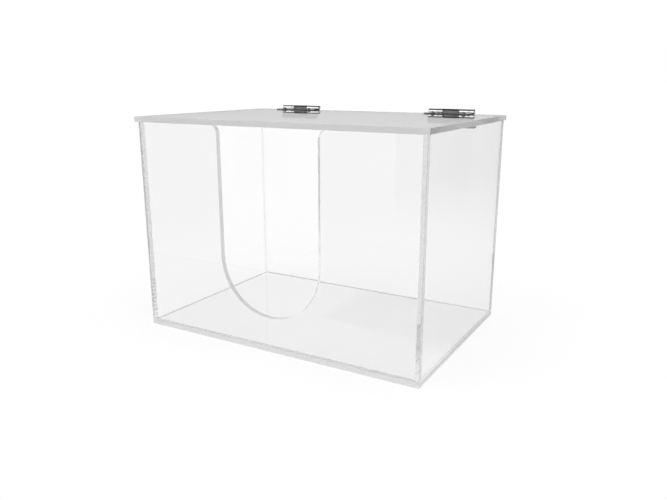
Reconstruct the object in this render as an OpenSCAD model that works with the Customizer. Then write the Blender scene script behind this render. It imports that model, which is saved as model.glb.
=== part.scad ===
/* [Box] */
// Width over the side panels
box_w = 300; // [220:5:420]
// Depth over the front and back panels
box_d = 202; // [140:2:300]
// Height of the walls' top edge above the underside
box_h = 208; // [150:2:300]
// Thickness of the acrylic sheet of the bottom and walls
sheet_t = 5; // [4:0.5:8]

/* [Hand opening] */
// Width between the straight sides of the opening
opening_w = 107; // [70:1:170]
// Height of the round lower end above the underside
opening_bottom_z = 34; // [12:1:60]
// Radius that eases each side into the front panel's top edge
opening_top_r = 7; // [2:0.5:14]

/* [Lid] */
// Thickness of the lid's acrylic sheet
lid_t = 5; // [4:0.5:8]
// How far the lid stands out past each side panel
lid_side_lip = 2.4; // [0:0.2:8]
// How far the lid stands out past the front panel
lid_front_lip = 2.8; // [0:0.2:12]
// Gap between the lid's rear edge and the hinge leaves on the back panel
lid_rear_gap = 0.3; // [0.1:0.1:1]

/* [Hinges] */
// Length of each hinge
hinge_l = 50; // [36:1:70]
// Distance from a side panel's outer face to the hinge's outer end
hinge_inset = 31.5; // [6:0.5:50]
// Thickness of the leaf metal
leaf_t = 1; // [0.6:0.1:1.4]
// Reach of each leaf from the pin's axis
leaf_reach = 16.8; // [14:0.2:24]
// Radius of each leaf's two free corners
leaf_corner_r = 2; // [0.5:0.25:3]
// Length of the middle knuckle, which the box's leaf carries
middle_knuckle_l = 17.5; // [8:0.5:24]
// Gap between neighbouring knuckles, and round them where a leaf is notched
knuckle_gap = 0.3; // [0.2:0.05:0.6]
// Width of the slit where each rolled knuckle ends on its leaf
roll_slit = 0.3; // [0.1:0.05:0.5]
// Diameter of the hinge pin
pin_d = 2.6; // [2:0.1:4]
// Radial clearance of the pin in the middle knuckle
pin_play = 0.05; // [0.02:0.01:0.1]
// How far each peened pin end stands out of the barrel
pin_proud = 0.5; // [0.2:0.1:1]

/* [Screws] */
// Diameter of the screw over its thread
screw_d = 2.5; // [2:0.1:3.2]
// Depth that the screw reaches into the sheet
screw_bite = 3.8; // [2.4:0.2:4.6]
// Spare depth of the tapped hole below the screw's tip
tap_spare = 0.3; // [0.1:0.1:0.8]
// Radial clearance of the screw in the leaf's hole
hole_play = 0.15; // [0.05:0.05:0.4]
// Distance from the pin's axis to the row of screws
screw_reach = 10.6; // [9.6:0.2:11.6]
// Distance between the two screws of a leaf
screw_pitch = 33.6; // [26:0.2:40]
// Diameter of the screw head
head_d = 4.6; // [3.6:0.1:5.4]
// Height of the screw head
head_h = 1.5; // [1:0.1:1.8]
// Height of the straight rim under the domed top of the head
head_rim_h = 0.5; // [0.2:0.1:0.8]
// Length of each arm across the cross recess
recess_l = 2.6; // [1.6:0.1:3.2]
// Width of the cross recess
recess_w = 0.6; // [0.4:0.1:0.9]
// Depth of the cross recess
recess_depth = 0.8; // [0.4:0.1:1]

/* [Hidden] */
$fn = 96;
// How far every cut runs past the face that it opens
overrun = 1;
left = -1;
right = 1;
outer = 1;
inner = -1;
clear_sheet = [0.88, 0.91, 0.92, 0.35];
chrome = [0.72, 0.73, 0.75];
wall_h = box_h - sheet_t;
lid_top_z = box_h + lid_t;
back_y = box_d / 2;
opening_r = opening_w / 2;
opening_centre_z = opening_bottom_z + opening_r;
pin_r = pin_d / 2;
barrel_r = pin_r + pin_play + leaf_t;
axis_y = back_y + barrel_r;
axis_z = lid_top_z + barrel_r;
hinge_x = box_w / 2 - hinge_inset - hinge_l / 2;
end_knuckle_l = (hinge_l - middle_knuckle_l) / 2 - knuckle_gap;
end_knuckle_x = (hinge_l - end_knuckle_l) / 2;
notch_reach = barrel_r + knuckle_gap;
tap_depth = screw_bite + tap_spare;
dome_h = head_h - head_rim_h;
dome_r = (pow(head_d / 2, 2) + pow(dome_h, 2)) / (2 * dome_h);

// A box from its lowest corner to its highest one
module block(low, high) {
    translate(low) cube(high - low);
}

// A rod along X, centred on its length
module rod(r, l) {
    rotate([0, 90, 0]) cylinder(r = r, h = l, center = true);
}

// The screws' tapped holes, cut downwards from a face at z = 0 on either side of x = 0
module tapped_holes() {
    for (end = [inner, outer])
        translate([end * screw_pitch / 2, 0, -tap_depth])
            cylinder(d = screw_d, h = tap_depth + overrun);
}

// Places its children at the pin's axis of the hinge on one side
module at_hinge(side) {
    translate([side * hinge_x, axis_y, axis_z]) children();
}

// Turns what lies on the lid, seen from the pin's axis, to lie on the back panel
module on_back() {
    rotate([90, 0, 0]) mirror([0, 0, 1]) children();
}

// Outline of the hand opening in the front panel's plane, open at the top
module opening_outline() {
    translate([0, opening_centre_z]) circle(r = opening_r);
    translate([-opening_r, opening_centre_z])
        square([opening_w, box_h - opening_centre_z + overrun]);
    for (side = [left, right])
        translate([side * opening_r, box_h - opening_top_r])
            difference() {
                translate([-opening_top_r, 0])
                    square([2 * opening_top_r, opening_top_r + overrun]);
                translate([side * opening_top_r, 0]) circle(r = opening_top_r);
            }
}

module bottom_panel() {
    color(clear_sheet)
        block([-box_w / 2, -back_y, 0], [box_w / 2, back_y, sheet_t]);
}

// Front and back panels run the full width, and the side panels stand between them
module front_panel() {
    color(clear_sheet)
        difference() {
            block([-box_w / 2, -back_y, sheet_t], [box_w / 2, sheet_t - back_y, box_h]);
            translate([0, sheet_t + overrun - back_y, 0])
                rotate([90, 0, 0])
                    linear_extrude(sheet_t + 2 * overrun) opening_outline();
        }
}

module back_panel() {
    color(clear_sheet)
        difference() {
            block([-box_w / 2, back_y - sheet_t, sheet_t], [box_w / 2, back_y, box_h]);
            for (side = [left, right])
                at_hinge(side) on_back()
                    translate([0, -screw_reach, -barrel_r]) tapped_holes();
        }
}

module side_panel(side) {
    color(clear_sheet)
        translate([side * (box_w - sheet_t) / 2, 0, sheet_t + wall_h / 2])
            cube([sheet_t, box_d - 2 * sheet_t, wall_h], center = true);
}

module lid_panel() {
    lid_x = box_w / 2 + lid_side_lip;
    color(clear_sheet)
        difference() {
            block([-lid_x, -back_y - lid_front_lip, box_h], [lid_x, back_y - lid_rear_gap, lid_top_z]);
            for (side = [left, right])
                at_hinge(side)
                    translate([0, -screw_reach, -barrel_r]) tapped_holes();
        }
}

// Flat part of a leaf, with its free corners rounded and the pin's axis along y = 0
module leaf_outline() {
    corner_x = hinge_l / 2 - leaf_corner_r;
    corner_y = leaf_corner_r - leaf_reach;
    translate([-hinge_l / 2, corner_y]) square([hinge_l, -corner_y]);
    translate([-corner_x, -leaf_reach]) square([2 * corner_x, leaf_corner_r]);
    for (end = [left, right])
        translate([end * corner_x, corner_y]) circle(r = leaf_corner_r);
}

// A leaf that lies below the pin's axis: knuckles are rolled at the places own_x, each own_l long,
// and the leaf is notched for the other leaf's knuckles at the places other_x, each other_l long
module leaf(own_x, own_l, other_x, other_l, bore_r) {
    color(chrome)
        difference() {
            union() {
                translate([0, 0, -barrel_r]) linear_extrude(leaf_t) leaf_outline();
                for (x = own_x)
                    translate([x, 0, 0]) rod(barrel_r, own_l);
            }
            rod(bore_r, hinge_l + 2 * overrun);
            for (x = other_x) {
                notch_x = other_l / 2 + knuckle_gap;
                block([x - notch_x, -notch_reach, -barrel_r - overrun],
                      [x + notch_x, barrel_r + overrun, barrel_r + overrun]);
            }
            block([-hinge_l / 2 - overrun, -barrel_r - overrun, leaf_t - barrel_r],
                  [hinge_l / 2 + overrun, 0, leaf_t - barrel_r + roll_slit]);
            for (end = [inner, outer])
                translate([end * screw_pitch / 2, -screw_reach, -barrel_r - overrun])
                    cylinder(r = screw_d / 2 + hole_play, h = leaf_t + 2 * overrun);
        }
}

module lid_leaf(side) {
    at_hinge(side)
        leaf([-end_knuckle_x, end_knuckle_x], end_knuckle_l, [0], middle_knuckle_l, pin_r);
}

module box_leaf(side) {
    at_hinge(side) on_back()
        leaf([0], middle_knuckle_l, [-end_knuckle_x, end_knuckle_x], end_knuckle_l,
             pin_r + pin_play);
}

// Pin with bevelled peened ends
module hinge_pin(side) {
    half_l = hinge_l / 2;
    color(chrome)
        at_hinge(side)
            rotate([0, 90, 0])
                rotate_extrude()
                    polygon([
                        [0, -half_l - pin_proud],
                        [pin_r - pin_proud, -half_l - pin_proud],
                        [pin_r, -half_l],
                        [pin_r, half_l],
                        [pin_r - pin_proud, half_l + pin_proud],
                        [0, half_l + pin_proud]
                    ]);
}

// Pan head screw, with the underside of its head at z = 0
module screw() {
    shank_l = leaf_t + screw_bite;
    color(chrome)
        difference() {
            union() {
                intersection() {
                    cylinder(d = head_d, h = head_h);
                    translate([0, 0, head_h - dome_r]) sphere(r = dome_r);
                }
                translate([0, 0, -shank_l]) cylinder(d = screw_d, h = shank_l + head_rim_h);
            }
            for (turn = [0, 90])
                rotate([0, 0, turn])
                    block([-recess_l / 2, -recess_w / 2, head_h - recess_depth],
                          [recess_l / 2, recess_w / 2, head_h + overrun]);
        }
}

// A screw of a leaf, at its end away from the middle of the box or at its end towards it
module leaf_screw(side, end) {
    translate([side * end * screw_pitch / 2, -screw_reach, leaf_t - barrel_r]) screw();
}

module lid_screw(side, end) {
    at_hinge(side) leaf_screw(side, end);
}

module box_screw(side, end) {
    at_hinge(side) on_back() leaf_screw(side, end);
}

bottom_panel();
front_panel();
back_panel();
side_panel(left);  // left_panel
side_panel(right);  // right_panel
lid_panel();
lid_leaf(left);  // left_lid_leaf
box_leaf(left);  // left_box_leaf
hinge_pin(left);  // left_hinge_pin
lid_leaf(right);  // right_lid_leaf
box_leaf(right);  // right_box_leaf
hinge_pin(right);  // right_hinge_pin
lid_screw(left, outer);  // left_lid_screw_outer
lid_screw(left, inner);  // left_lid_screw_inner
box_screw(left, outer);  // left_box_screw_outer
box_screw(left, inner);  // left_box_screw_inner
lid_screw(right, outer);  // right_lid_screw_outer
lid_screw(right, inner);  // right_lid_screw_inner
box_screw(right, outer);  // right_box_screw_outer
box_screw(right, inner);  // right_box_screw_inner
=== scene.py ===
import math

import bmesh
import bpy
from mathutils import Matrix, Vector

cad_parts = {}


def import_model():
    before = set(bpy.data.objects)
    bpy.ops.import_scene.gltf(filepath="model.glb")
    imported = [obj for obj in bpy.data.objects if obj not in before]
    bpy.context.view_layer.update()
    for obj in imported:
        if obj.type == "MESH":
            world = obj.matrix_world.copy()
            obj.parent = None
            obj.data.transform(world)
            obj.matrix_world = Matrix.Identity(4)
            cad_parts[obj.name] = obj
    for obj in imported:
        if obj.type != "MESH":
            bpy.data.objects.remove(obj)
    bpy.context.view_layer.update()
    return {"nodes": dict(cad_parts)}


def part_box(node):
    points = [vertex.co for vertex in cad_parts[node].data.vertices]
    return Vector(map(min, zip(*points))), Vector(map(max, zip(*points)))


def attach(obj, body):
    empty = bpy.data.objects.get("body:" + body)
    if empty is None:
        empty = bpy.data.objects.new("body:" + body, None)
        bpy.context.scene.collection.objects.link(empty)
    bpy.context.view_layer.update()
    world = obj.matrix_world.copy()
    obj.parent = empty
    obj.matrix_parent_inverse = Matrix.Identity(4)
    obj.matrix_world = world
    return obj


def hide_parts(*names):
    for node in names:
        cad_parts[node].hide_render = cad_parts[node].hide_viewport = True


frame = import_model()

MM = 0.001

# The sheets, as the frame has them
BOTTOM_LOW, BOTTOM_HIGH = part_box("bottom_panel")
SHEET = BOTTOM_HIGH.z - BOTTOM_LOW.z
HALF_W, HALF_D = BOTTOM_HIGH.x, BOTTOM_HIGH.y
INNER_X, INNER_Y = HALF_W - SHEET, HALF_D - SHEET
EDGE_EASE = 0.3 * MM
JOINT_GAP = 0.01 * MM
METAL_GAP = 0.02 * MM
LID_GAP = 0.05 * MM

# The hand opening
OPENING_R = 53.5 * MM
OPENING_BOTTOM = 34 * MM
OPENING_TOP_R = 7 * MM
HALF_TURN_STEPS = 96
QUARTER_TURN_STEPS = 16

# The screws
SHANK_R = 1.25 * MM
CREST_R = 1.42 * MM
HOLE_R = 1.45 * MM
HOLE_DEPTH = 4.1 * MM
HOLE_OVERCUT = 1 * MM
HOLE_STEPS = 32
THREAD_PITCH = 0.75 * MM
THREAD_STEPS = 24

# The hinges' leaves, rolled from flat blanks
LEAF_T = 1 * MM
LEAF_CORNER_R = 2 * MM
LEAF_EASE = 0.15 * MM
MIDDLE_KNUCKLE = 17.5 * MM
KNUCKLE_GAP = 0.3 * MM
SCREW_HOLE_R = 1.4 * MM
ROLL = math.radians(300)
ROLL_STEP = math.radians(7.5)

SMOOTH_BELOW = math.radians(20)
LEAF_SMOOTH_BELOW = math.radians(10)
SHARP_EDGE = 1
FACING = 0.9
CLEAR, EDGE, JOINT = range(3)
LEAF_FACE, LEAF_RIM, LEAF_PLATE = range(3)

# Clear sheet: its index of refraction, and the sizes of its marks in cycles to a metre
ACRYLIC_INDEX = 1.49
BACKLIT = 0.35
WIPE_SCALE = 14
SAW_SCALE = 900
SAW_STRETCH = (1, 1, 0.15)
SAW_DEPTH = 0.05 * MM
MATT_SCALE = 500
CLOUD_SCALE = 160
BUBBLE_SCALE = 260
BUBBLE_HAZE = 0.08
BEAD_CLOUD_SCALE = 90
BEAD_GLOSS_SCALE = 400

# Metal
BRUSH_STRETCH = (0.04, 1, 1)
BRUSH_DEPTH = 0.01 * MM
PATCH_SCALE = 170
ROUNDED = 0.2 * MM


# Nodes

class Tree:
    """A node tree, written one node to a line."""

    def __init__(self, owner):
        owner.use_nodes = True
        self.tree = owner.node_tree
        self.tree.nodes.clear()

    def add(self, kind, inputs=None, **settings):
        node = self.tree.nodes.new("ShaderNode" + kind)
        for key, value in settings.items():
            setattr(node, key, value)
        for key, value in (inputs or {}).items():
            if isinstance(value, bpy.types.NodeSocket):
                self.tree.links.new(value, node.inputs[key])
            else:
                node.inputs[key].default_value = value
        return node

    def math(self, operation, a, b=0.0, clamp=False):
        return self.add("Math", {0: a, 1: b}, operation=operation, use_clamp=clamp).outputs[0]

    def ramp(self, value, start, end, low=0.0, high=1.0, smooth=True):
        """Goes from low at start to high at end, and stays level outside."""
        kind = "SMOOTHSTEP" if smooth else "LINEAR"
        inputs = {"Value": value, "From Min": start, "From Max": end, "To Min": low, "To Max": high}
        return self.add("MapRange", inputs, interpolation_type=kind).outputs["Result"]

    def noise(self, at, scale, detail=3.0, stretch=(1, 1, 1)):
        turned = self.add("Mapping", {"Vector": at, "Scale": stretch}).outputs[0]
        return self.add("TexNoise", {"Vector": turned, "Scale": scale, "Detail": detail}).outputs["Fac"]

    def mix(self, factor, first, second):
        return self.add("MixShader", {0: factor, 1: first, 2: second}).outputs[0]

    def frost(self, white):
        """A matt surface that also lets some light through."""
        front = self.add("BsdfDiffuse", {"Color": grey(white)}).outputs[0]
        back = self.add("BsdfTranslucent", {"Color": grey(white)}).outputs[0]
        return self.mix(BACKLIT, front, back)

    def seen(self):
        """1 for what the camera sees, straight, mirrored or through the sheets, and 0 for light."""
        path = self.add("LightPath").outputs
        either = self.math("MAXIMUM", path["Is Camera Ray"], path["Is Glossy Ray"])
        return self.math("MAXIMUM", either, path["Is Transmission Ray"])


def grey(value):
    return (value, value, value, 1)


def material(name):
    mat = bpy.data.materials.new(name)
    return mat, Tree(mat)


# Materials

def acrylic(name, density, tint, shade, frost_white):
    """Clear cast sheet, whose faces carry two values.

    haze says how matt or cloudy a face is, and joint whether it is cemented.
    tint is what one surface lets through, and shade what it lets through of the light for a shadow.
    """
    mat, t = material(name)
    at = t.add("TexCoord").outputs["Object"]
    haze = t.add("Attribute", attribute_name="haze").outputs["Fac"]
    joint = t.add("Attribute", attribute_name="joint").outputs["Fac"]

    # Wipe marks on the faces, and saw and polish marks across the edges
    smudge = t.ramp(t.noise(at, WIPE_SCALE, 5), 0.62, 0.8, 0.0, SMUDGE_ROUGH)
    marks = t.noise(at, SAW_SCALE, 4, SAW_STRETCH)
    rough = t.math("ADD", smudge, t.math("MULTIPLY", haze, EDGE_ROUGH))
    bump = t.add("Bump", {"Strength": t.math("MULTIPLY", haze, EDGE_BUMP), "Distance": SAW_DEPTH,
                          "Height": marks}).outputs[0]
    gloss = t.add("BsdfPrincipled", {"Base Color": grey(tint), "IOR": ACRYLIC_INDEX,
                                     "Transmission Weight": 1.0, "Roughness": rough, "Normal": bump})

    # Light that a matt edge or a hazy joint scatters
    frost = t.frost(frost_white)
    matt = t.math("MULTIPLY", haze, t.ramp(t.noise(at, MATT_SCALE, 4), 0.3, 0.7, 0.95, 1.05), clamp=True)
    body = t.mix(matt, gloss.outputs[0], frost)

    # The cement: clear where it wetted the joint, cloudy between, with small bubbles
    cloud = t.math("MULTIPLY", haze, t.ramp(t.noise(at, CLOUD_SCALE, 4), 0.3, 0.7, 0.85, 1.15))
    cells = t.add("TexVoronoi", {"Vector": at, "Scale": BUBBLE_SCALE}).outputs["Distance"]
    bubble = t.ramp(cells, 0.06, 0.12, BUBBLE_HAZE, 0.0)
    clear = t.add("BsdfTransparent").outputs[0]
    cement = t.mix(t.math("MAXIMUM", cloud, bubble, clamp=True), clear, frost)
    body = t.mix(joint, body, cement)

    shadow = t.add("BsdfTransparent", {"Color": grey(shade)}).outputs[0]
    lit = t.mix(t.add("LightPath").outputs["Is Shadow Ray"], body, shadow)
    depth = t.add("VolumeAbsorption", {"Color": grey(0), "Density": density}).outputs[0]
    t.add("OutputMaterial", {"Surface": lit, "Volume": depth})
    return mat


def metal(name, bright, dull, rough, grain):
    """Plated steel, or a darker copy of it that paints shade: brushed along x and duller in patches."""
    mat, t = material(name)
    at = t.add("TexCoord").outputs["Object"]
    brush = t.noise(at, grain, 3, BRUSH_STRETCH)
    patch = t.ramp(t.noise(at, PATCH_SCALE, 4), 0.35, 0.7, 0.0, 0.4)
    tone = t.add("MixRGB", {"Fac": patch, "Color1": (*bright, 1), "Color2": (*dull, 1)}).outputs[0]
    spread = t.math("ADD", t.ramp(brush, 0.3, 0.7, 0.7 * rough, 1.3 * rough),
                    t.math("MULTIPLY", patch, 0.05))
    edge = t.add("Bevel", {"Radius": ROUNDED}, samples=6).outputs[0]
    bump = t.add("Bump", {"Strength": 0.15, "Distance": BRUSH_DEPTH, "Height": brush,
                          "Normal": edge}).outputs[0]
    steel = t.add("BsdfPrincipled", {"Base Color": tone, "Metallic": 1.0, "Roughness": spread,
                                     "Normal": bump})
    t.add("OutputMaterial", {"Surface": steel.outputs[0]})
    return mat


SMUDGE_ROUGH = 0.02
EDGE_ROUGH = 0.7
EDGE_BUMP = 0.02

SHEET_MAT = acrylic("clear_acrylic", 0.75, 0.975, 0.97, 0.82)
# The lid's copy has greyer matt edges than the walls', painted shade on the lid's edge bands.
LID_MAT = acrylic("clear_acrylic_lid", 1.6, 0.975, 0.97, 0.75)
# The base's copy has a darker tint than the other sheets, painted shade of the floor under the box seen
# through it.
BASE_MAT = acrylic("clear_acrylic_base", 1.2, 0.92, 0.88, 0.76)
PLATED = metal("hinge_plated", (0.9, 0.9, 0.91), (0.6, 0.59, 0.585), 0.07, 5200)
# The leaves' rims are duller from the shear, and their near-black colour is painted shade along the hinges'
# edges.
SHEAR_DULL_PAINTED_SHADE = metal("hinge_shear_dull_painted_shade", (0.07, 0.068, 0.066), (0.04, 0.039, 0.038), 0.3, 3600)
# The box leaf is the same plated metal; this darker copy is painted shade on its middle knuckle.
BOX_LEAF_PAINTED_SHADE = metal("hinge_box_leaf_painted_shade", (0.14, 0.136, 0.133), (0.085, 0.083, 0.081), 0.22, 3000)
PLATE = metal("hinge_plate", (0.6, 0.595, 0.59), (0.4, 0.395, 0.39), 0.2, 3600)
SCREW = metal("screw_plated", (0.36, 0.35, 0.345), (0.2, 0.195, 0.19), 0.12, 4000)


# Meshes

def sharpen(bm, below=SMOOTH_BELOW):
    """Smooth shading across shallow angles, crisp edges everywhere else."""
    for face in bm.faces:
        face.smooth = True
    for e in bm.edges:
        e.smooth = len(e.link_faces) == 2 and e.calc_face_angle(0) < below


def put(name, bm, mats, below=SMOOTH_BELOW):
    bmesh.ops.recalc_face_normals(bm, faces=bm.faces)
    sharpen(bm, below)
    mesh = bpy.data.meshes.new(name)
    bm.to_mesh(mesh)
    bm.free()
    for mat in mats:
        mesh.materials.append(mat)
    obj = bpy.data.objects.new(name, mesh)
    bpy.context.scene.collection.objects.link(obj)
    return obj


def slab(low, high):
    bm = bmesh.new()
    bmesh.ops.create_cube(bm, size=1)
    size = high - low
    for v in bm.verts:
        v.co = low + Vector(((v.co[i] + 0.5) * size[i] for i in range(3)))
    return bm


def split(bm, cuts):
    """Cuts the faces where a neighbouring sheet's joint ends. Each cut is (axis, place)."""
    for axis, value in cuts:
        point, normal = Vector(), Vector()
        point[axis], normal[axis] = value, 1
        bmesh.ops.bisect_plane(
            bm, geom=bm.verts[:] + bm.edges[:] + bm.faces[:], plane_co=point, plane_no=normal)


def arc(centre, radius, start, end, steps):
    """Points on an arc in the x-z plane, angles in degrees from +x towards +z."""
    for i in range(steps + 1):
        a = math.radians(start + (end - start) * i / steps)
        yield centre[0] + radius * math.cos(a), centre[1] + radius * math.sin(a)


def drill(obj, holes, radius, depth, below=SMOOTH_BELOW):
    """Cuts holes of one radius and depth: each is (mouth, direction into the piece)."""
    for mouth, into in holes:
        bm = bmesh.new()
        over = HOLE_OVERCUT
        bmesh.ops.create_cone(bm, cap_ends=True, segments=HOLE_STEPS, radius1=radius, radius2=radius,
                              depth=depth + over)
        turn = Vector((0, 0, -1)).rotation_difference(into).to_matrix().to_4x4()
        middle = mouth + into * (depth - over) / 2
        bmesh.ops.transform(bm, matrix=Matrix.Translation(middle) @ turn, verts=bm.verts)
        for face in bm.faces:
            face.material_index = EDGE
        cutter = put("cutter", bm, obj.data.materials)
        mod = obj.modifiers.new("hole", "BOOLEAN")
        mod.operation, mod.solver, mod.object = "DIFFERENCE", "EXACT", cutter
        bpy.context.view_layer.update()
        made = bpy.data.meshes.new_from_object(
            obj.evaluated_get(bpy.context.evaluated_depsgraph_get()))
        obj.modifiers.clear()
        obj.data = made
        bpy.data.objects.remove(cutter)
    bm = bmesh.new()
    bm.from_mesh(obj.data)
    sharpen(bm, below)
    bm.to_mesh(obj.data)
    bm.free()
    obj.data.name = obj.name


def seam_haze(joint):
    """How cloudy the cement is: least between upright sheets, and less under the sides than elsewhere."""
    if abs(joint.normal.z) < FACING:
        return WALL_SEAM_HAZE
    if abs(joint.center.x) > INNER_X and abs(joint.center.y) < INNER_Y:
        return SIDE_SEAM_HAZE
    return BASE_SEAM_HAZE


def finish_sheet(bm, node, body, thin, is_joint, mat, haze_of, holes=()):
    """Sorts a sheet's faces, eases its open edges and puts it in place of its node.

    thin is the sheet's thin axis, and haze_of gives the haze of its cut edges at a point.
    """
    bmesh.ops.recalc_face_normals(bm, faces=bm.faces)
    bm.normal_update()
    for face in bm.faces:
        if is_joint(face.calc_center_median(), face.normal):
            face.material_index = JOINT
        elif abs(face.normal[thin]) > FACING:
            face.material_index = CLEAR
        else:
            face.material_index = EDGE
    eased = [
        e for e in bm.edges
        if len(e.link_faces) == 2 and e.calc_face_angle(0) > SHARP_EDGE
        and all(f.material_index != JOINT for f in e.link_faces)
    ]
    bmesh.ops.bevel(bm, geom=eased, offset=EDGE_EASE, segments=1, profile=0.5,
                    affect="EDGES", material=EDGE)
    moved = {}
    for f in bm.faces:
        if f.material_index == JOINT:
            for v in f.verts:
                moved.setdefault(v, set()).add(tuple(round(c) for c in f.normal))
    for v, normals in moved.items():
        for n in normals:
            v.co -= Vector(n) * JOINT_GAP
    obj = put(node + "_sheet", bm, [mat] * 3)
    if holes:
        drill(obj, holes, HOLE_R, HOLE_DEPTH)
    mesh = obj.data
    kinds = [p.material_index for p in mesh.polygons]
    haze = []
    for p, kind in zip(mesh.polygons, kinds):
        haze.append({CLEAR: 0.0, EDGE: haze_of(p.center), JOINT: seam_haze(p)}[kind])
    joint = [float(k == JOINT) for k in kinds]
    for name, values in (("haze", haze), ("joint", joint)):
        mesh.attributes.new(name, "FLOAT", "FACE").data.foreach_set("value", values)
    mesh.polygons.foreach_set("material_index", [0] * len(kinds))
    while len(mesh.materials) > 1:
        mesh.materials.pop()
    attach(obj, body)
    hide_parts(node)
    return obj


# The sheets

WALL_HAZE = 0.5
BASE_HAZE = 0.75
BACK_HAZE = 0.12
OPENING_HAZE = 0.5
OPENING_POLISH = 0.08
LID_FRONT_HAZE = 0.95
LID_SIDE_HAZE = 0.4
WALL_SEAM_HAZE = 0.06
BASE_SEAM_HAZE = 0.7
SIDE_SEAM_HAZE = 0.2
# How far below the opening's upper corners its right edge gets smoother, and where the polish is full
POLISH_STEPS = (60 * MM, 80 * MM, 100 * MM)
POLISH_TURN = math.radians(35)

# The bead of cement: its size and its look. Its grey matt look is partly the cement's own cloudiness and
# partly painted shade in the inside corner of the bottom seam.
BEAD = 0.8 * MM
BEAD_HAZE = 0.35
BEAD_WHITE = 0.76


def bottom_sheet():
    def joint(c, n):
        return n.z > FACING and (abs(c.x) > INNER_X or abs(c.y) > INNER_Y)
    bm = slab(BOTTOM_LOW, BOTTOM_HIGH)
    split(bm, [(0, -INNER_X), (0, INNER_X), (1, -INNER_Y), (1, INNER_Y)])
    finish_sheet(bm, "bottom_panel", "box", 2, joint, BASE_MAT, lambda c: BASE_HAZE)


def side_sheet(node):
    def joint(c, n):
        return n.z < -FACING or abs(n.y) > FACING
    finish_sheet(slab(*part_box(node)), node, "box", 0, joint, SHEET_MAT, lambda c: WALL_HAZE)


def end_joint(inward):
    """Where the bottom and the side sheets meet the front or the back sheet."""
    return lambda c, n: n.z < -FACING or (n.y * inward > FACING and abs(c.x) > INNER_X)


def back_sheet(holes):
    low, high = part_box("back_panel")
    bm = slab(low, high - Vector((0, METAL_GAP, 0)))
    split(bm, [(0, -INNER_X), (0, INNER_X)])
    finish_sheet(bm, "back_panel", "box", 1, end_joint(-1), SHEET_MAT, lambda c: BACK_HAZE, holes)


def front_sheet():
    low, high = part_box("front_panel")
    top = high.z - OPENING_TOP_R
    side = OPENING_R + OPENING_TOP_R
    outline = [(low.x, low.z), (high.x, low.z), (high.x, high.z)]
    outline += arc((side, top), OPENING_TOP_R, 90, 180, QUARTER_TURN_STEPS)
    outline += arc((0, OPENING_BOTTOM + OPENING_R), OPENING_R, 0, -180, HALF_TURN_STEPS)
    outline += arc((-side, top), OPENING_TOP_R, 0, 90, QUARTER_TURN_STEPS)
    outline.append((low.x, high.z))
    bm = bmesh.new()
    face = bm.faces.new([bm.verts.new((x, low.y, z)) for x, z in outline])
    for v in bmesh.ops.extrude_face_region(bm, geom=[face])["geom"]:
        if isinstance(v, bmesh.types.BMVert):
            v.co.y = high.y
    polish_ends = [top - step for step in POLISH_STEPS]
    split(bm, [(0, -INNER_X), (0, INNER_X)] + [(2, z) for z in polish_ends])

    def haze(c):
        """The opening's edge is matt from the saw, and polished down its right side and round below it."""
        if abs(c.x) > side or c.z < low.z + SHEET or c.z > high.z - EDGE_EASE:
            return WALL_HAZE
        if c.x < 0:
            return OPENING_HAZE
        if c.z > top:
            return OPENING_POLISH
        if c.z > OPENING_BOTTOM + OPENING_R:
            passed = sum(c.z < z for z in polish_ends) / len(polish_ends)
        else:
            passed = min(1, c.x / (OPENING_R * math.sin(POLISH_TURN)))
        return OPENING_HAZE + (OPENING_POLISH - OPENING_HAZE) * passed
    finish_sheet(bm, "front_panel", "box", 1, end_joint(1), SHEET_MAT, haze)


def lid_sheet(holes):
    low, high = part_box("lid_panel")
    bm = slab(low + Vector((0, 0, LID_GAP)), high - Vector((0, 0, METAL_GAP)))

    def haze(c):
        return LID_FRONT_HAZE if c.y < low.y + SHEET else LID_SIDE_HAZE
    finish_sheet(bm, "lid_panel", "lid", 2, lambda c, n: False, LID_MAT, haze, holes)


# The cement

def bead():
    """The fillet of cement along the inside of the bottom seam, mitred at its corners, whose grey matt look
    is partly painted shade in that corner.
    """
    mat, t = material("cement")
    at = t.add("TexCoord").outputs["Object"]
    rough = t.ramp(t.noise(at, BEAD_GLOSS_SCALE), 0.3, 0.7, 0.1, 0.3)
    gloss = t.add("BsdfGlossy", {"Roughness": rough}).outputs[0]
    body = t.mix(t.add("Fresnel", {"IOR": ACRYLIC_INDEX}).outputs[0], t.frost(BEAD_WHITE), gloss)
    cloud = t.ramp(t.noise(at, BEAD_CLOUD_SCALE, 4), 0.3, 0.7, 0.7 * BEAD_HAZE, 1.3 * BEAD_HAZE)
    t.add("OutputMaterial", {"Surface": t.mix(cloud, t.add("BsdfTransparent").outputs[0], body)})
    profile = [(METAL_GAP, METAL_GAP), (BEAD, METAL_GAP), (0.5 * BEAD, 0.2 * BEAD),
               (0.2 * BEAD, 0.5 * BEAD), (METAL_GAP, BEAD)]
    bm = bmesh.new()
    rings = []
    for sx, sy in ((-1, -1), (1, -1), (1, 1), (-1, 1)):
        rings.append([bm.verts.new((sx * (INNER_X - d), sy * (INNER_Y - d), BOTTOM_HIGH.z + h))
                      for d, h in profile])
    for a, b in zip(rings, rings[1:] + rings[:1]):
        for i in range(len(profile)):
            j = (i + 1) % len(profile)
            bm.faces.new((a[i], a[j], b[j], b[i]))
    obj = put("bottom_seam_bead_and_painted_shade", bm, [mat])
    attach(obj, "box")


# The hinges

def blank_outline(half, reach, notch, end, tabs):
    """A leaf's flat blank: x runs along the hinge, u from the free edge to the end of the tabs."""
    corner = half - LEAF_CORNER_R, LEAF_CORNER_R - reach
    points = list(arc((-corner[0], corner[1]), LEAF_CORNER_R, 180, 270, QUARTER_TURN_STEPS))
    points += arc(corner, LEAF_CORNER_R, 270, 360, QUARTER_TURN_STEPS)
    at = half
    for low, high in reversed(tabs):
        if at > high:
            points += [(at, notch), (high, notch)]
        points += [(high, end), (low, end)]
        at = low
        if low > -half:
            points.append((low, notch))
    if at > -half:
        points.append((-half, notch))
    return points


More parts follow.
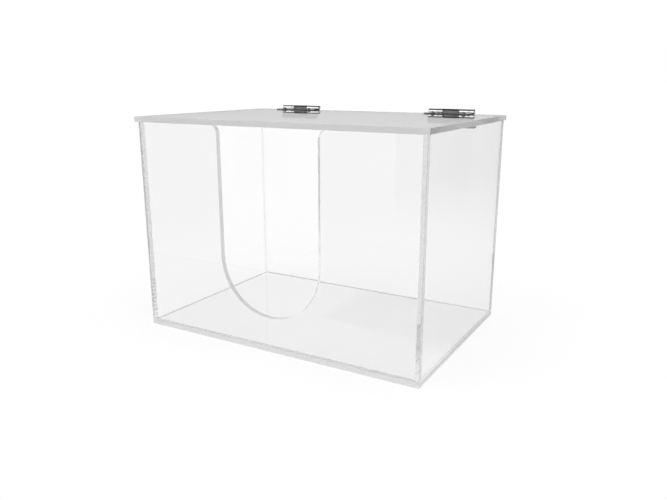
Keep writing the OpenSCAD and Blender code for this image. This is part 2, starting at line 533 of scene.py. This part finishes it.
def leaf(node, body, own):
    """A leaf: a blank with eased edges, whose tabs own are rolled round the pin and which is then drilled."""
    low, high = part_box(node)
    thin, along = (2, 1) if body == "lid" else (1, 2)
    barrel_r = min(high.y - low.y, high.z - low.z) / 2
    middle = Vector(((low.x + high.x) / 2, high.y - barrel_r, high.z - barrel_r))
    outline = blank_outline((high.x - low.x) / 2, middle[along] - low[along], -barrel_r - KNUCKLE_GAP,
                            barrel_r * ROLL, own)
    bm = bmesh.new()
    face = bm.faces.new([bm.verts.new((x, u, 0)) for x, u in outline])
    for v in bmesh.ops.extrude_face_region(bm, geom=[face])["geom"]:
        if isinstance(v, bmesh.types.BMVert):
            v.co.z = LEAF_T
    bmesh.ops.recalc_face_normals(bm, faces=bm.faces)
    for f in bm.faces:
        f.material_index = LEAF_FACE if abs(f.normal.z) > 0.5 else LEAF_RIM
    rims = [e for e in bm.edges if e.calc_face_angle(0) > SHARP_EDGE]
    bmesh.ops.bevel(bm, geom=rims, offset=LEAF_EASE, segments=3, profile=0.5, affect="EDGES",
                    material=LEAF_RIM)
    for i in range(round(ROLL / ROLL_STEP)):
        split(bm, [(1, barrel_r * ROLL_STEP * i)])
    for f in bm.faces:
        outside = all(v.co.y < EDGE_EASE and v.co.z > LEAF_T / 2 for v in f.verts)
        if f.material_index == LEAF_FACE and outside:
            f.material_index = LEAF_PLATE
    for v in bm.verts:
        x, u, w = v.co
        turn, r = max(u, 0) / barrel_r, barrel_r - w
        back, up = min(u, 0) + r * math.sin(turn), -r * math.cos(turn)
        v.co.x = middle.x + x
        v.co[along] = middle[along] + back
        v.co[thin] = middle[thin] + up
    # The box leaf's knuckle and inner faces take the darker copy, painted shade on the middle knuckle; all
    # rims take the near-black painted edge shade.
    mats = [BOX_LEAF_PAINTED_SHADE, SHEAR_DULL_PAINTED_SHADE, PLATE] if body == "box" else [PLATED, SHEAR_DULL_PAINTED_SHADE, PLATED]
    obj = put(node + "_rolled", bm, mats, LEAF_SMOOTH_BELOW)
    into = Vector()
    into[thin] = -1
    mouths = []
    for end in ("outer", "inner"):
        screw_low, screw_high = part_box(f"{node.split('_')[0]}_{body}_screw_{end}")
        mouth = (screw_low + screw_high) / 2
        mouth[thin] = low[thin] + LEAF_T
        mouths.append((mouth, into))
    drill(obj, mouths, SCREW_HOLE_R, 2 * LEAF_T, LEAF_SMOOTH_BELOW)
    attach(obj, body)
    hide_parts(node)


# The screws' threads

def thread(name, body, tip, up, length):
    """A helical ridge round a screw's shank, fading out at both ends."""
    bm = bmesh.new()
    turns = length / THREAD_PITCH
    steps = round(turns * THREAD_STEPS)
    root, rise = SHANK_R - 0.05 * MM, 0.3 * THREAD_PITCH
    rings = []
    for i in range(steps + 1):
        s = i / steps
        a = 2 * math.pi * turns * s
        crest = SHANK_R + (CREST_R - SHANK_R) * min(1, 8 * s, 8 * (1 - s))
        rings.append([bm.verts.new((r * math.cos(a), r * math.sin(a), length * s + z))
                      for r, z in ((root, -rise), (crest, 0), (root, rise))])
    for a, b in zip(rings, rings[1:]):
        for i in range(3):
            bm.faces.new((a[i], a[(i + 1) % 3], b[(i + 1) % 3], b[i]))
    bm.faces.new(rings[0])
    bm.faces.new(rings[-1])
    turn = Vector((0, 0, 1)).rotation_difference(up).to_matrix().to_4x4()
    bmesh.ops.transform(bm, matrix=Matrix.Translation(tip) @ turn, verts=bm.verts)
    obj = put(name, bm, [SCREW])
    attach(obj, body)


def screw_places(body, up):
    """For each screw of a body: its node, the middle of its tip, and where it enters the sheet."""
    axis = max(range(3), key=lambda i: up[i])
    face = (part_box("lid_panel") if body == "lid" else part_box("back_panel"))[1][axis]
    for side in ("left", "right"):
        for end in ("outer", "inner"):
            node = f"{side}_{body}_screw_{end}"
            low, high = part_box(node)
            tip, mouth = (low + high) / 2, (low + high) / 2
            tip[axis], mouth[axis] = low[axis], face
            yield node, tip, mouth


holes = {}
for body, up in (("lid", Vector((0, 0, 1))), ("box", Vector((0, 1, 0)))):
    holes[body] = []
    for node, tip, mouth in screw_places(body, up):
        holes[body].append((mouth, -up))
        start = 0.5 * MM
        thread(node + "_thread", body, tip + up * start, up, (mouth - tip).length - start)

bottom_sheet()
side_sheet("left_panel")
side_sheet("right_panel")
back_sheet(holes["box"])
front_sheet()
lid_sheet(holes["lid"])
bead()

leaf_half = (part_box("left_lid_leaf")[1].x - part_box("left_lid_leaf")[0].x) / 2
middle_half = MIDDLE_KNUCKLE / 2
end_start = middle_half + KNUCKLE_GAP
for side in ("left", "right"):
    leaf(side + "_lid_leaf", "lid", [(-leaf_half, -end_start), (end_start, leaf_half)])
    leaf(side + "_box_leaf", "box", [(-middle_half, middle_half)])

for name, node in frame["nodes"].items():
    if "screw" in name:
        mat = SCREW
    elif "pin" in name:
        mat = PLATED
    else:
        continue
    for slot in node.material_slots:
        slot.material = mat


# The studio

WORLD_LIGHT = 0.6
FLOOR_COLOUR = 0.97
FLOOR_WHITE = 0.7
FLOOR_SIZE = 30
FLOOR_Z = -0.4 * MM

# The lamps: where they shine, how strongly, and how wide they look in degrees
KEY = (0.5, 0.6, -1.0), 1.25, 40
FILL = (-0.6, 0.1, -1.0), 0.6, 60

# What polished faces mirror: the outline of the surround as radius and height, and its parts
# with their directions and brightnesses
SURROUND = [(0.002, 0.003), (0.55, 0.003), (1.2, 0.01), (2.2, 0.12),
            (2.9, 0.6), (3.0, 1.2), (2.4, 2.2), (0.01, 3.0)]
SURROUND_STEPS = 48
EYE_Z = 0.2
PARTS = {"front": (-0.5, -0.87), "back_left": (-0.6, 0.8), "back_right": (0.75, 0.66)}
PLAIN_LOW = 0.35
PLAIN_BOX = 0.8
FRONT_BOX = 1.35
FRONT_BOX_LOWER = 6
BACK_LEFT = 0.58
BACK_RIGHT = 0.28
CEILING = 0.07
ASIDE_NEAR, ASIDE_FAR = 0.72, 0.3


def world():
    w = bpy.data.worlds.new("studio")
    bpy.context.scene.world = w
    t = Tree(w)
    strength = t.ramp(t.seen(), 0, 1, WORLD_LIGHT, 1.0)
    white = t.add("Background", {"Color": grey(1), "Strength": strength})
    t.add("OutputWorld", {"Surface": white.outputs[0]})


def floor():
    bm = bmesh.new()
    bmesh.ops.create_grid(bm, x_segments=8, y_segments=8, size=FLOOR_SIZE)
    mat, t = material("floor")
    paper = t.add("BsdfDiffuse", {"Color": grey(FLOOR_COLOUR)}).outputs[0]
    white = t.add("Emission", {"Strength": 1.0}).outputs[0]
    t.add("OutputMaterial", {"Surface": t.mix(t.math("MULTIPLY", t.seen(), FLOOR_WHITE), paper, white)})
    obj = put("floor", bm, [mat])
    obj.location.z = FLOOR_Z


def sun(name, towards, strength, spread):
    """A soft lamp that no polished face or sheet shows as a disc."""
    data = bpy.data.lights.new(name, "SUN")
    data.energy = strength
    data.angle = math.radians(spread)
    obj = bpy.data.objects.new(name, data)
    bpy.context.scene.collection.objects.link(obj)
    obj.rotation_euler = Vector(towards).to_track_quat("-Z", "Y").to_euler()
    obj.visible_glossy = False
    obj.visible_transmission = False


def reflections():
    """The surround: a floor that darkens outwards, soft boxes at eye height, a dark ceiling."""
    bm = bmesh.new()
    turns = [2 * math.pi * i / SURROUND_STEPS for i in range(SURROUND_STEPS)]
    rings = [[bm.verts.new((r * math.cos(a), r * math.sin(a), z)) for a in turns] for r, z in SURROUND]
    for a, b in zip(rings, rings[1:]):
        for i in range(SURROUND_STEPS):
            j = (i + 1) % SURROUND_STEPS
            bm.faces.new((a[i], a[j], b[j], b[i]))
    mat, t = material("reflections")
    at = t.add("NewGeometry").outputs["Position"]
    x, y, z = t.add("SeparateXYZ", {0: at}).outputs
    flat = t.add("CombineXYZ", {0: x, 1: y}).outputs[0]
    out = t.add("VectorMath", {0: flat}, operation="LENGTH").outputs["Value"]
    rise = t.math("ARCTAN2", t.math("SUBTRACT", z, EYE_Z), out)
    level = {}
    for name, (dx, dy) in PARTS.items():
        dot = t.math("ADD", t.math("MULTIPLY", x, dx), t.math("MULTIPLY", y, dy))
        level[name] = t.ramp(t.math("DIVIDE", dot, out), 0.5, 0.8)
    ahead = t.ramp(out, 0.15, 0.8, 1.0, 0.0)
    aside = t.ramp(out, 0.25, 1.3, ASIDE_NEAR, ASIDE_FAR)

    def blend(first, second, part):
        return t.math("ADD", t.math("MULTIPLY", first, t.math("SUBTRACT", 1.0, part)),
                      t.math("MULTIPLY", second, part))

    def over(first, second, start, end, rise=rise):
        return blend(first, second, t.ramp(rise, math.radians(start), math.radians(end)))

    def lit(plain, lights):
        glow = plain
        for name, value in lights.items():
            glow = t.math("ADD", glow, t.math("MULTIPLY", level[name], value - plain))
        return glow
    low = lit(PLAIN_LOW, {"back_left": BACK_LEFT, "back_right": BACK_RIGHT, "front": FRONT_BOX})
    boxes = lit(PLAIN_BOX, {"front": FRONT_BOX})
    glow = over(blend(ahead, aside, level["back_right"]), low, -2.5, -0.5)
    glow = over(glow, boxes, 6, 10)
    lowered = t.math("MULTIPLY", level["front"], math.radians(FRONT_BOX_LOWER))
    glow = over(glow, CEILING, 30, 50, t.math("ADD", rise, lowered))
    t.add("OutputMaterial", {"Surface": t.add("Emission", {"Strength": glow}).outputs[0]})
    obj = put("reflections", bm, [mat])
    for ray in ("camera", "diffuse", "transmission", "volume_scatter", "shadow"):
        setattr(obj, "visible_" + ray, False)


world()
floor()
sun("key", *KEY)
sun("fill", *FILL)
reflections()


# The camera, placed as the photograph's

IMAGE_WIDTH = 667
FOCAL_PIXELS = 645.98
SENSOR_WIDTH = 36
CAMERA_AT = (0.3324, -0.5582, 0.2484)
CAMERA_DOWN = 14.86
CAMERA_TURN = 29.99

# Light in a sheet's edge is thrown from face to face up to a hundred times
BOUNCES = 160
TRANSPARENT_BOUNCES = 64


def camera():
    data = bpy.data.cameras.new("camera")
    data.sensor_fit = "HORIZONTAL"
    data.sensor_width = SENSOR_WIDTH
    data.lens = FOCAL_PIXELS / IMAGE_WIDTH * SENSOR_WIDTH
    obj = bpy.data.objects.new("camera", data)
    bpy.context.scene.collection.objects.link(obj)
    obj.location = CAMERA_AT
    obj.rotation_euler = (math.radians(90 - CAMERA_DOWN), 0, math.radians(CAMERA_TURN))
    bpy.context.scene.camera = obj


camera()
scene = bpy.context.scene
scene.view_settings.view_transform = "Standard"
scene.cycles.max_bounces = BOUNCES
scene.cycles.transmission_bounces = BOUNCES
scene.cycles.glossy_bounces = BOUNCES
scene.cycles.transparent_max_bounces = TRANSPARENT_BOUNCES
